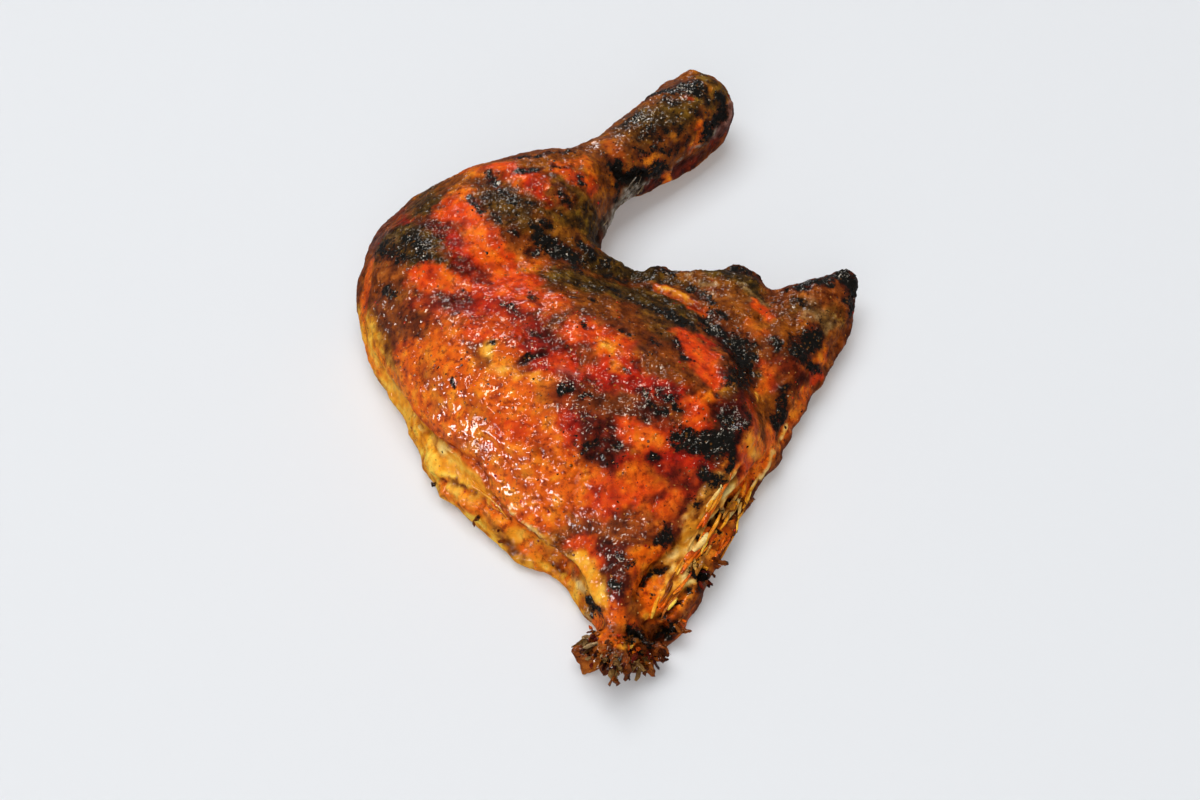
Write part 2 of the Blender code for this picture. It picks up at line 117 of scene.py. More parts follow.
# In these tables, a line ends with the pixels that a stroke runs through, or several strokes with a slash
# between them. Widths are half widths in millimetres. Lines without a pixel say where the next ones are.
# Broad fields first, then what lies over them: kind, half width, cover from 0 to 1, and how ragged.
FIELDS = """
the whole, and the left edge
brown 200 1 0 600,240 640,330 560,400 640,480
ochre 13 .9 .3 365,340 440,480 510,545 590,640
shank
amber 22 1 .2 560,190 620,140 690,100
olive 9 .6 1 636,124 670,112 704,104
orange 3 .4 .9 610,144 618,160
amber 5 .9 .5 604,134 616,118 640,106 656,94
wine 6 .9 .5 730,94 728,120 716,138
wine 4.4 .9 .5 694,160 664,180 640,190
olive 5 .7 .9 650,112 690,112 712,96
olive 3 .5 1 622,126 644,112
rust 2 .7 .5 660,82 672,78
olive 5 .6 1 650,124 676,118
olive 3 .9 .6 678,75 690,72 702,79
olive 4 .8 .8 712,84 724,94
amber 2.4 .8 .7 690,130 700,122 704,112
orange 2.2 .95 .5 700,127 702,138 692,148
red 1 .7 .5 688,95 691,99
plum 3 .9 .4 729,108 727,120 718,134
orange 2.4 .9 .5 646,159 656,164
plum 1.6 .6 .5 632,181 650,177
web 1 .85 .4 723,104 720,118 716,130 706,142 694,148 684,156 672,164 660,173 650,181 640,187
orange 1.7 1 .3 665,171 668,175 664,180
web 5 1 .3 634,189 622,200 612,214 606,226
orange 2 .85 .5 603,186 606,204 601,214
gold 1 .9 .4 605,205 603,213
rust 3 .8 .7 586,210 594,226 600,246
web 1.6 .7 .6 590,216 596,234
calf
amber 14 .9 .4 400,205 440,185 500,172 560,165 600,190
orange 4.5 .85 .6 450,177 480,172 500,165
orange 4.5 .95 .6 462,192 482,188 494,184
glow 6 .95 .6 500,168 520,178 545,188 560,198
orange 2 .6 .9 498,170 520,186
glow 4 .8 .7 562,170 575,178 590,184
orange 2.6 .7 .8 556,166 584,160 590,170
red 3 .8 .7 530,188 548,196 558,200
olive 5 .8 .9 420,190 432,200 424,210
olive 5 .75 1 404,206 420,204 440,206
red 3 .8 .6 396,214 406,224
glow 3 .7 .7 446,202 462,210
glow 9.5 1 .45 456,215 470,240 490,262 512,282
orange 4 .5 .9 470,232 482,250 498,268
wine 6 .95 .6 404,232 430,230 448,236
red 3.4 .9 .5 450,240 456,256 470,268
wine 3 .85 .7 446,262 470,270 490,282
olive 8 .85 .6 490,188 510,204 540,218 575,228 596,240
olive 6 .8 .9 560,185 580,200 590,220
amber 3 .6 .9 534,214 548,222 / 560,232 580,238
wine 2.2 .7 .8 486,176 498,188
rust 2.4 .7 .7 500,161 530,157 580,151
olive 2.4 .6 .9 566,148 600,136
knee
brown 9 .8 .6 398,206 382,240 376,290
plum 2.6 .6 .5 392,210 382,228 374,246
olive 7.5 .95 .6 386,244 400,236 420,250 430,262
dry 2 .5 .8 390,236 396,242
rust 8 .8 .8 384,268 400,284 420,290
olive 3 .6 .9 404,286 412,292
wine 5 .6 .9 386,320 390,340 392,356
amber 3 .75 .9 390,306 398,330
ochre 1.6 .5 .8 388,286 398,300
orange 3 .85 .5 372,262 366,290 364,320
amber 1.5 .6 .6 367,262 362,290
gold 2.8 .95 .5 362,334 370,354 384,378 400,398 416,418
orange 1.6 .7 .8 360,340 366,356 378,372
orange 2 .6 .7 376,350 392,374 412,398
thigh
brown 13 .8 .5 404,300 440,330 460,360
glow 6 .95 .6 424,276 446,284 470,292 490,300
orange 3 .7 .7 440,278 462,288
wine 3.2 .95 .7 456,304 476,310 492,306
plum 4 .5 .9 440,304 470,308
wine 4 .4 1 404,312 416,330 412,352
brown 3 .6 1 430,330 446,346 470,352
brown 3 .5 1 400,384 416,392
red 4 .5 .9 420,300 440,314
wine 3.2 .85 .7 458,318 468,328
red 7 .95 .55 484,316 500,330 520,342 548,350
wine 4 .5 1 488,316 508,332
glow 3 .6 .7 486,324 500,334
wine 3 .95 .6 500,300 516,314 530,316
wine 3.6 .9 .8 530,326 544,338 566,346 580,350
glow 6 .85 .7 516,296 540,302 560,298
orange 3 .6 .8 536,300 556,306
orange 4.5 .8 .6 530,266 560,272
orange 4 .9 .5 400,350 416,352
orange 13 .9 .6 420,380 450,350 478,340
glow 4 .8 .7 470,330 490,340
wine 2.2 .8 .7 468,352 478,344 492,346
brown 4 .6 .9 420,380 440,384 462,378
glow 8 .95 .6 585,330 605,345 630,352
orange 3.4 .9 .6 602,346 616,352
gold 1.6 .7 .6 606,348 612,352
amber 6 .7 .7 580,300 610,310
red 8 .95 .5 548,372 570,372 590,384
glow 3 .6 .7 548,364 560,360
plum 2.4 .6 .8 562,372 574,374
brown 3.6 .8 .8 586,352 596,370
red 6 .95 .5 606,372 630,376 656,386 670,384
orange 1.8 .7 .6 612,366 620,370
wine 2.4 .7 .9 636,360 656,368 672,380
gold 3.4 .95 .6 488,350 498,360 500,374 512,380 530,382
orange 3.5 .8 .6 502,352 512,356
cream 1.4 .6 .6 497,368 500,376
wine 1.9 1 .4 516,364 528,358 542,352
orange 5 .85 .6 510,394 530,392 556,386
wine 3.4 .85 .9 536,394 556,392 576,386 600,396
red 5 .85 .6 560,410 580,404 600,418
orange 17 .95 .4 430,400 490,410 540,440 600,480 640,500
orange 8 .95 .3 440,430 490,486 530,516
brown 4 .45 1 424,366 436,384 440,404
brown 3.4 .4 1 470,404 486,420
brown 3 .4 1 460,440 480,452
red 5 .4 1 520,428 540,440
brown 3 .45 1 560,470 580,480
red 9 .5 .9 470,300 520,330
wine 9 .6 1 566,396 600,424 622,456
wine 3.4 .8 1 436,296 462,302
red 4 .5 1 500,420 520,452
wine 2 .5 1 540,450 560,462
wine 2.4 .7 1 516,336 530,344
wine 2 .7 1 476,356 486,362
glow 5 .5 .8 520,430 500,440
orange 3.4 .8 .5 500,450 520,452
brown 6 .8 .9 590,400 610,410 624,420
wine 6 .95 .7 584,426 600,430 620,436
wine 5.5 .95 .7 600,450 612,462 620,468
wine 6 .7 .9 684,448 716,450 732,436
red 4 .85 .6 566,416 572,440
red 3 .8 .6 620,464 632,462
glow 5.5 .95 .5 630,430 650,440 668,440
orange 4 .9 .6 646,438 656,446
brown 1.3 .9 .4 662,454 666,453
wine 3.6 .8 .8 640,404 652,412 662,420
red 5.5 .95 .5 660,460 690,470 700,460
orange 4.6 .95 .5 630,476 650,484
glow 7 .8 .6 650,500 680,506 690,490
red 2.6 .6 .8 632,494 640,510 650,506
wine 2.4 .8 .8 652,502 664,496
wine 3.4 .6 1 676,480 692,488
orange 4 .8 .7 640,516 664,516 680,512
orange 6.5 .95 .4 545,476 570,486 560,500
glow 5 .7 .7 600,484 620,494 606,500
brown 5 .4 .9 584,524 600,532 620,524
glow 4 .5 .8 560,516 600,514
red 4 .7 .9 596,498 616,508
red 4 .4 .9 640,524 662,512 692,498
wine 3.4 .7 1 700,470 712,478 708,492
wine 2.6 .6 1 616,520 632,512
orange 5 .8 .5 560,520 540,512
between thigh and back
olive 9 .95 .5 565,278 600,286 640,296 676,312
olive 5 .9 .6 590,262 620,266 650,270
amber 5 .7 .8 560,288 590,300 620,312 650,336
brown 7 .85 .6 620,316 650,338 668,362
amber 4 .7 .8 640,350 660,370 680,376
olive 5 .6 .9 640,300 660,330
back
olive 7 .95 .5 640,262 680,268 720,272 750,284
olive 6 .85 .7 610,268 640,272 690,276
amber 3 .7 .7 680,272 700,280 730,286 740,292
dry .9 .7 .6 688,274 700,280 714,286 730,292
dry .8 .6 .7 700,290 712,296 722,302
olive 3 .8 .5 744,282 756,296 764,304
dry .9 .7 .7 740,284 752,294 764,304
dry .8 .5 .8 726,294 740,298 752,300
orange 2.6 1 .3 660,286 676,294 690,302 704,312
gold 1.2 .95 .3 662,286 680,294 692,302
glow 2.4 .9 .4 692,306 704,310
amber 7 .85 .6 720,304 740,312 760,320 780,330
glow 2.6 .85 .7 754,304 764,310 770,316
orange 3 .7 .7 748,328 762,332
rust 3 .6 .8 770,300 780,316
glow 4.5 1 .4 684,334 692,348 704,366 714,380
glow 5 .95 .4 702,352 712,370
red 2.4 .8 .8 700,336 712,346
wine 2.4 .8 .8 718,338 728,350
orange 3.4 .95 .4 700,400 716,396 728,388
gold 2 .95 .4 722,392 732,386 732,396
wine 1.3 .7 .6 690,390 694,394
glow 3.4 .9 .6 690,404 700,410
glow 3.2 .9 .6 690,424 706,426
wine 4 .85 .8 716,410 736,404 748,396
rust 6 .85 .7 752,340 764,356 760,370
olive 4 .7 .8 748,352 754,372
glow 3.0 .6 .8 760,366 772,374 770,384
orange 2.6 .8 .7 764,384 760,398
gold 1.3 .8 .5 758,396 760,402
amber 4 .8 .7 770,404 762,424 758,436
amber 2.2 .7 .6 788,344 790,356
wine 4.5 .8 .8 780,362 794,368 800,380
orange 2.6 .9 .5 824,344 822,360
glow 2 .9 .5 812,372 818,376 808,386
orange 1.4 .9 .4 808,388 800,400 790,412
rust 2.4 .9 .5 832,336 832,352 826,366 830,370
amber 1.6 .8 .6 800,404 786,424 778,440
tail
rust 8 .95 .4 788,296 812,306 836,312
amber 5 .85 .6 790,320 806,330 820,340
orange 3.4 .9 .7 806,318 812,324
dry 3.4 .4 1 814,306 826,318 832,322
cream .7 .9 .5 833,301 836,303
cream .6 .8 .5 835,312 837,314
ochre .8 .5 .5 838,319 841,322
olive 5 .65 .9 800,308 820,322 834,318
dry 2.4 .45 1 808,314 826,326
plum 1.2 .6 .5 852,310 848,324
ridge before the flap
wine 5.5 .85 .6 728,400 740,430 736,460
glow 3 .5 .8 752,410 756,428
rust 2.4 .5 .6 706,454 718,457
wine 5 .6 1 660,470 690,486
wine 3.6 .9 .7 706,500 716,488
wine 4 .85 .8 690,512 676,528 660,540
rump
brown 7 .8 .6 580,530 600,545 640,530
glow 4 .8 .7 575,545 590,550 598,560
wine 4 .85 .8 604,546 622,550 640,552
wine 4.4 .8 .8 612,562 626,580 622,604
red 2 .5 .9 616,592 620,606
orange 4 .9 .5 636,560 650,556 668,552
gold 2 .7 .5 668,556 680,546 690,530
orange 2.4 .9 .4 612,606 616,612
gold 3.6 1 .4 580,560 590,578 600,598
ochre 2 .8 .5 596,596 608,610
orange 5.5 1 .4 640,590 656,592 672,586
red 2.2 .7 .7 660,588 668,598
gold 2 .8 .5 656,576 668,576
amber 3 .7 .6 636,600 630,612
orange 5 .85 .7 600,622 616,620 624,630
rust 4 .7 .8 590,636 600,642 616,648
orange 3 .85 1 598,622 612,632 628,640
rust 1.8 .7 1 604,628 618,628
orange 4 .9 .5 650,612 664,612 680,604
gold 1.4 .8 .6 646,618 662,616 678,608
flap and torn hip
orange 4.6 1 .4 752,446 758,450 748,462
gold 2.2 .75 .7 750,444 756,458 744,478
glow 3 .7 .6 744,458 748,470
orange 3.4 1 .4 736,478 744,484 734,496
gold 1.5 .6 .5 736,484 742,490
rust 1.2 .7 .6 764,442 766,452 760,466
glow 1.6 .7 .6 772,440 774,452
orange 3 .75 .8 808,394 794,414 780,436
orange 4 .95 .5 772,434 766,456 754,470
orange 8 1 .3 730,482 712,520 690,560 674,592
ochre 6 .8 .8 726,490 708,524 690,556 676,584
cream 6 .95 .6 724,486 708,514 694,540 680,568
gold 2.6 .8 .6 716,490 700,512 684,540
orange 1.6 .6 .9 706,548 694,574
rust 2 .8 .9 720,484 706,502 694,518
cream 1.1 .8 .5 784,424 780,436 772,450 764,470 758,480
orange 1.8 .8 .5 776,436 778,446
wine 1.2 .8 .5 750,478 756,484
web .6 .8 .3 738,450 730,462 724,478
rust 2.6 .8 .6 736,500 744,498 748,506
rust 2.4 .8 .7 714,560 706,566 700,580
orange 3 .8 .7 684,600 690,616 680,630
rust 3 .85 .7 700,592 690,620 676,640
lower left
ochre 7 1 .2 424,438 446,464 470,494
cream 2.6 .8 .6 436,442 450,456 462,466
gold 4.2 .95 .5 452,462 470,476 484,496
cream .9 .9 .3 420,424 436,436 452,450
orange 3 .85 .6 446,484 456,492 470,502
gold 2 .9 .5 454,486 460,492
rust .8 .8 .6 438,478 456,484 470,490 486,504
rust 1 .8 .4 450,505 466,507
orange 3.2 .9 .5 480,508 500,520 520,532
rust 1.6 .7 .7 486,514 498,524
gold 2.8 .9 .5 518,534 528,546
amber 2.6 .8 .7 500,530 516,548 530,558
rust 1.4 .7 .6 506,540 514,552
orange 4.6 .9 .6 535,550 556,560 572,572
amber 2 .6 .8 546,552 560,566
wine 1.8 .7 .7 552,562 564,570
ochre 1.4 .8 .6 540,562 560,574 576,584
rust 2.4 .7 .8 560,548 572,560
dry 1.6 .6 .7 572,574 584,590
rust .8 .7 .4 490,494 498,506 512,518 530,532 545,542
cream .7 .8 .4 498,502 516,517 532,530 548,542
dry 1.6 .7 .6 592,606 590,620
broken end
rust 8 .95 .5 580,640 610,654 640,664 664,650
orange 2.6 .8 1 598,636 614,642 628,650
rust 6 1 .4 578,650 590,664 606,672
gold 1.6 .9 .4 622,644 632,642
cream .6 .8 .3 616,654 630,648 638,644
"""
# Burnt patches, which lie over the fields: half width, cover, and how ragged.
CHARRED = """
7 .36 1 590,436 614,456
4.4 1 .6 736,344 742,356 744,372 736,380
4 1 .5 690,444 710,447 728,441
3.6 1 .6 799,350 806,342 815,336
3.6 1 .5 680,438 700,440 724,440
3.6 .8 1 382,248 394,252 404,256
3.4 1 .5 617,168 623,180 640,176 660,168
3.4 1 .4 842,272 848,278 854,290
3.4 .85 1 656,93 672,91 684,85 697,89
3.4 .85 .9 728,416 734,432 738,424
3.2 1 .7 796,354 805,358
3.2 1 .6 540,238 556,250 574,258
3.2 .85 1 408,240 420,246 424,252
3 1 .6 632,637 648,635 668,631
3 .95 .6 720,98 722,112 714,124 706,134
3 .9 .8 664,312 674,316 684,322
3 .62 1 584,446 600,442 616,446
3 .6 1 598,460 610,462
2.8 .97 .7 704,322 714,330 722,334
2.8 .85 .8 724,268 736,270 744,268 754,276
2.8 .8 .9 660,538 668,534
2.6 1 .4 698,572 704,582
2.6 .8 .9 662,266 672,272 / 712,484 722,478
2.6 .78 .9 664,394 672,398
2.6 .7 1 626,122 640,116 / 640,152 652,150 661,142
2.6 .7 .9 604,262 630,268
2.6 .6 1 644,132 666,130 680,128
2.4 1 .5 800,286 812,282 828,280 838,274
2.4 .95 .7 782,414 776,424
2.4 .9 .8 704,472 712,476
2.4 .9 .7 686,448 696,452
2.4 .8 1 640,262 658,263
2.4 .7 1 664,100 677,104
2.4 .7 .9 642,392 650,402 662,414
2.2 .9 .8 520,170 528,172 534,170
2.2 .9 .6 846,298 852,306 850,314
2.2 .85 .9 786,388 784,402
2.2 .8 1 700,92 705,100
2.2 .7 1 660,150 676,150 687,140 / 608,288 626,298 644,306
2.2 .6 1 630,298 636,304 / 652,338 660,344
2.2 .5 1 744,404 748,430
2 .95 .6 580,242 592,254
2 .9 .8 386,288 392,296 / 810,366 816,370
2 .85 .8 562,390 568,388
2 .72 1 502,192 514,200 534,204
2 .7 1 690,112 700,118
2 .6 1 796,300 804,304 / 616,556 628,562
2 .6 .9 606,276 624,279
2 .55 1 690,500 700,504
1.9 .95 .6 774,342 780,346
1.8 .95 .5 736,452 732,462 726,472
1.8 .9 .6 588,596 594,606 600,612
1.8 .9 .5 606,656 618,658
1.8 .9 .4 700,540 704,546
1.8 .85 .8 530,226 540,232 / 544,222 552,226
1.8 .8 .9 578,176 582,186 / 712,314 724,316 / 676,340 680,352
1.8 .7 1 508,228 516,234 / 562,192 570,206 / 748,336 756,342
1.8 .7 .9 728,352 732,360
1.7 .95 .7 582,322 588,326
1.7 .85 .8 694,288 702,294 712,302 / 613,582 619,588
1.7 .8 .8 630,654 645,652 652,648
1.6 1 .5 652,457 658,456
1.6 .8 .8 528,248 536,254
1.6 .7 .9 492,214 500,220 / 576,268 584,276 / 504,302 514,312
1.6 .6 .8 615,186 616,200
1.5 1 .3 714,524 718,530
1.5 .95 .6 530,296 534,298
1.5 .95 .5 486,175 496,184
1.5 .8 .8 682,358 690,360
1.4 .85 .7 676,408 680,410
1.4 .85 .6 784,291 794,287
1.4 .8 .8 552,166 560,168 / 520,158 545,154 570,151
1.4 .7 .9 584,396 590,398
1.3 .8 .7 470,196 474,202 480,208
1.2 .8 .8 590,300 594,302
1.2 .8 .6 622,368 628,372
1.2 .8 .5 520,362 532,356
1.2 .7 .9 534,332 540,338
1.2 .6 .8 624,330 628,334
1.1 .9 .5 490,344 494,347
1.1 .8 .8 574,298 578,298
1 1 .3 710,393 714,396 / 720,514 724,517
1 .9 .6 462,292 466,294
1 .9 .4 449,381 451,384
1 .8 .5 632,359 638,360
.9 1 .3 690,586 680,598 672,606
.8 .9 .4 639,592 645,580 654,574 668,568
.8 .9 .3 672,612 660,618 646,624
"""
# Where the skin is wettest and glints: half width, and how wet from 0 to 1.
WET = """
4 .5 404,206 424,200
2 .2 438,226 452,230
5 .9 380,238 392,262
5 .35 436,262 470,272
7 .8 424,306 450,322 470,336
7 .95 386,306 404,320 412,350 400,384
5 .5 470,290 500,296 520,312
7 .7 530,300 560,310 584,324 / 590,440 604,462 640,452 / 740,350 748,380 / 736,430 744,466
4 .7 500,342 520,352 552,346
7 .85 426,352 440,372 450,392
6 .7 474,380 500,392 520,408 / 636,356 660,380 676,404 / 606,556 626,600
5 .8 446,400 470,404
5 1 440,420 462,434 480,442
3.2 1 488,442 510,454 536,466 540,478 520,482
5.5 1 492,478 510,490 526,502
4 .9 546,476 560,490
5 .6 520,392 540,420 552,448
10 .8 566,380 600,396 632,420
8 .6 616,462 640,480 664,492 / 790,300 820,320
7 .6 560,520 600,526
9 .8 600,494 640,508 680,500
7 .75 660,460 700,474
6 .35 500,176 540,180 570,186
7 .9 630,120 656,104 676,88
8 .8 610,150 640,150 670,130
6 .8 700,96 712,118
8 .35 660,280 700,300 740,330
8 .5 690,330 716,376
"""
# Streaks and pools of glaze, and lumps, that stand up from the skin: half width and height.
GLAZE_RIDGES = """
1.1 .8 486,430 500,442 516,450 532,452 / 532,452 537,460 532,468 516,470
1.8 .6 442,426 462,424 478,432
1.2 .5 450,436 470,440
2.2 .6 492,474 504,480 516,490
1.6 .5 504,494 526,500
.9 .5 540,472 550,482 556,476
1.2 .5 420,392 440,404
2.6 .6 454,410 478,416 500,432
1.6 .6 476,390 486,400 500,424
1.6 .5 386,242 392,252
1.2 .5 662,104 672,90
6 4.2 590,138 608,118 636,98
2.4 .9 616,112 624,110
3 1.6 682,74 690,74
3 1 704,80 714,84
1.8 1.2 668,160 668,178
2 .9 646,160 656,164
1.6 1.2 730,104 726,122
3 2 446,492 458,494 470,504
1.8 1.2 430,462 440,474
2.6 1.6 512,548 524,556 534,560
2.2 1.2 496,520 506,528
"""
# Dents and gaps: half width and depth. A dent also darkens the colour in it, as painted shade.
DENTS = """
1.7 3 735,504 722,518 714,526
1.6 2.6 711,538 704,545
2 2.4 703,578 706,588
2 3 636,634 650,637 662,633
2.6 1.5 644,262 658,263
2.6 1.3 724,264 742,265
1.3 .9 516,362 530,357 546,353
1.5 1.2 652,288 680,298 704,310
1.6 1 604,220 598,240
1.3 1.4 742,470 722,496 700,528 676,548 650,572
.8 .9 428,430 447,445 472,460 485,475 491,495 506,511 540,539 562,562
.7 .8 438,478 456,484 470,491 486,504
.8 1.4 690,586 680,598 672,607 / 672,612 660,619 646,625
.8 1.2 639,592 645,580 654,574 668,568
1.8 1.6 617,170 624,180 644,176
"""

# Torn fibres by the hip, on its edge, by the rump, in the web and on the ledge: how many, from pixel, to
# pixel, spread to each side and length in pixels, radius in millimetres, and kinds of surface.
FIBRES = [
    (22, (736, 482), (676, 584), 11, 36, (0.4, 1.1), ("cream", "cream", "gold", "ochre", "orange")),
    (9, (764, 470), (708, 580), 7, 30, (0.3, 0.7), ("orange", "ochre", "cream")),
    (12, (690, 560), (650, 632), 9, 30, (0.3, 0.7), ("orange", "ochre", "rust")),
    (26, (644, 182), (604, 250), 9, 40, (0.15, 0.4), ("web", "web", "dry")),
    (6, (424, 440), (560, 572), 7, 40, (0.10, 0.2), ("gold", "ochre")),
]
# Brittle pieces: how many, directions in degrees, lengths and widths in millimetres, each from and to, and
# kinds of surface. The pixel is their root.
SHARDS = """
14 185 235 2.5 6 1.2 2.4 rust/wine/dry 590,644
3 190 205 5 7 1.4 2.2 rust/dry 592,643
20 215 290 2.5 6 1.2 2.4 rust/dry/wine/amber 602,658
22 240 290 2.5 7 1.2 2.6 rust/dry/wine/amber 622,664
2 265 275 7 8 2 2.6 rust/amber 622,668
20 255 320 2.5 6 1.2 2.4 rust/dry/wine/amber 640,660
12 280 360 2 5 1.2 2.2 rust/wine 656,654
16 180 360 1.5 3 .9 1.8 orange/glow/rust 598,634
20 180 360 1.5 3 .9 1.8 orange/glow/rust 612,642
16 180 360 1.5 3 .9 1.8 orange/ochre/rust 628,648
7 300 380 2.5 5 1 2 orange/amber/rust 676,624
2 200 230 2.5 4 1.2 2 rust/amber 476,520
1 200 240 1.5 3 1.2 2 rust/wine 438,478
2 220 260 2 3 1.2 2 rust/wine 504,538
5 290 380 2 4 1 1.8 rust/amber 745,500
5 290 380 2 4 .9 1.6 rust/amber 716,566
5 280 370 2 4 .9 1.6 rust/wine 706,580
5 230 260 5 9 1.6 3 cream/ochre 728,504
5 230 260 5 9 1.6 3 cream/orange 712,530
5 225 270 4 8 1.6 3 cream/ochre 700,560
"""


def linear(colour):
    """Linear values, 0 to 1, of an sRGB colour from 0 to 255."""
    c = np.asarray(colour, float) / 255
    return np.where(c <= 0.04045, c / 12.92, ((c + 0.055) / 1.055) ** 2.4)


def step01(x):
    """Smooth rise from 0 to 1."""
    x = np.clip(x, 0, 1)
    return x * x * (3 - 2 * x)


FAR_CORNER = 1000.0  # keeps the lattice's whole numbers above 0


def lattice(i, j, k, seed):
    """Three values from -1 to 1 for each whole-numbered point."""
    h = i.astype(np.uint64) * np.uint64(73856093)
    h ^= j.astype(np.uint64) * np.uint64(19349663)
    h ^= k.astype(np.uint64) * np.uint64(83492791)
    h ^= np.uint64(seed * 2654435761 + 97)
    made = []
    for turn in (15, 13, 16):
        h = (h ^ (h >> np.uint64(turn))) * np.uint64(0x9E3779B97F4A7C15)
        made.append((h >> np.uint64(40)).astype(float) / (1 << 23) - 1)
    return np.stack(made, axis=-1)


def noise(points, size, seed=0):
    """Smooth noise, about -1 to 1, whose lumps are about size across."""
    p = points / size + FAR_CORNER
    base = np.floor(p).astype(np.int64)
    f = p - base
    ease = f**3 * (f * (f * 6 - 15) + 10)
    total = np.zeros(len(points))
    for corner in product((0, 1), repeat=3):
        share = np.prod(np.where(corner, ease, 1 - ease), axis=1)
        total += share * ((f - corner) * lattice(*(base + corner).T, seed)).sum(axis=1)
    return total * 1.5


def fractal(points, size, octaves, seed=0):
    """Noise with finer and weaker noise on top."""
    return sum(noise(points, size / 2**i, seed + i) / 1.8**i for i in range(octaves))


def shifts(points, wander, octaves, seeds):
    """Noisy moves along X, Y and Z; wander holds how far and in how long waves."""
    far, size = wander
    return far * np.stack([fractal(points, size, octaves, seed) for seed in seeds], axis=1)


def cells(points, size, seed=0):
    """Distance to the nearest and the second nearest of scattered points about size apart, over size."""
    p = points / size + FAR_CORNER
    base = np.floor(p).astype(np.int64)
    nearest = np.full((len(points), 2), 9.0)
    for step in product((-1, 0, 1), repeat=3):
        cell = base + step
        spot = cell + 0.5 + 0.45 * lattice(*cell.T, seed)
        gap = np.linalg.norm(p - spot, axis=1)
        closer = gap < nearest[:, 0]
        nearest[:, 1] = np.where(closer, nearest[:, 0], np.minimum(nearest[:, 1], gap))
        nearest[:, 0] = np.where(closer, gap, nearest[:, 0])
    return nearest


def vectors(items, key):
    values = np.zeros(len(items) * 3, np.float32)
    items.foreach_get(key, values)
    return values.reshape(-1, 3).astype(float)


def coordinates(mesh):
    return vectors(mesh.vertices, "co") / MM


def normals_of(mesh):
    return vectors(mesh.vertex_normals, "vector")


def set_coordinates(mesh, points):
    mesh.vertices.foreach_set("co", (points * MM).astype(np.float32).ravel())
    mesh.update()


def applied(obj, kind, **settings):
    """Gives obj the mesh that one modifier of that kind makes of it."""
    modifier = obj.modifiers.new(kind.title(), kind)
    for name, value in settings.items():
        setattr(modifier, name, value)
    graph = bpy.context.evaluated_depsgraph_get()
    mesh = bpy.data.meshes.new_from_object(obj.evaluated_get(graph))
    obj.modifiers.clear()
    obj.data = mesh


def surface_of(obj):
    """A search tree of the object's faces, in millimetres."""
    mesh = obj.data
    points = [Vector(p) for p in coordinates(mesh)]
    return BVHTree.FromPolygons(points, [tuple(p.vertices) for p in mesh.polygons])


def ray_through(pixel):
    """Direction of the camera's ray through a pixel of the photograph."""
    focal = LENS / SENSOR * PHOTO_WIDTH
    right = (pixel[0] - PHOTO_WIDTH / 2) / focal
    up = (PHOTO_HEIGHT / 2 - pixel[1]) / focal
    return Vector(-BACKWARD + np.array([right, 0, 0]) + up * UPWARD).normalized()


def spot_of(surface, pixel):
    """Where the ray through a pixel meets the surface, or the surface's nearest point to the ray."""
    ray = ray_through(pixel)
    hit = surface.ray_cast(Vector(CAMERA), ray)[0]
    if hit is None:
        down = Vector(CAMERA) + ray * ((MISSED_HEIGHT - CAMERA[2]) / ray.z)
        hit = surface.find_nearest(down)[0]
    return np.array(hit)


def off_stroke(points, stroke):
    """Distance of each point from a line through the stroke's points."""
    nearest = np.full(len(points), 1e9)
    for a, b in zip(stroke, stroke[1:]):
        length = max(float(((b - a) ** 2).sum()), 1e-9)
        along = np.clip((points - a) @ (b - a) / length, 0, 1)
        gap = np.linalg.norm(points - a - along[:, None] * (b - a), axis=1)
        nearest = np.minimum(nearest, gap)
    return nearest


def strokes(table, surface):
    """What a line of a table says, and where on the surface its pixels are, once for each stroke."""
    for line in table.splitlines():
        said = []
        for part in line.split(" / "):
            words = part.split()
            pixels = [word.split(",") for word in words if "," in word and word[0].isdigit()]
            if pixels:
                said += [float(w) if w[0] in ".0123456789" else w for w in words[: -len(pixels)]]
                yield said, [spot_of(surface, (float(across), float(down))) for across, down in pixels]


def brushed(points, stroke, width):
    """Which points are near a stroke, and how far off it they are, in half widths."""
    reach = 3 * width
    beside = (points > np.min(stroke, axis=0) - reach) & (points < np.max(stroke, axis=0) + reach)
    near = np.flatnonzero(beside.all(axis=1))
    return near, off_stroke(points[near], stroke) / width


def linked(name, data):
    """A new object in the scene."""
    made = bpy.data.objects.new(name, data)
    bpy.context.scene.collection.objects.link(made)
    return made


def store(mesh, tint, **numbers):
    """Stores a colour and some numbers for each vertex, for the material to read."""
    rgba = np.ones((len(tint), 4), np.float32)
    rgba[:, :3] = tint
    mesh.attributes.new("tint", "FLOAT_COLOR", "POINT").data.foreach_set("color", rgba.ravel())
    for name, values in numbers.items():
        values = np.broadcast_to(values, len(tint)).astype(np.float32)
        mesh.attributes.new(name, "FLOAT", "POINT").data.foreach_set("value", values)


def remeshed(node):
    """A fine copy of the CAD solid's surface, with its facets smoothed away."""
    piece = linked("leg_quarter_surface", node.data.copy())
    piece.data.materials.clear()
    applied(piece, "REMESH", mode="VOXEL", voxel_size=CELL * MM)
    applied(piece, "SMOOTH", factor=0.5, iterations=CAST_SMOOTHING)
    piece.data.shade_smooth()
    return piece


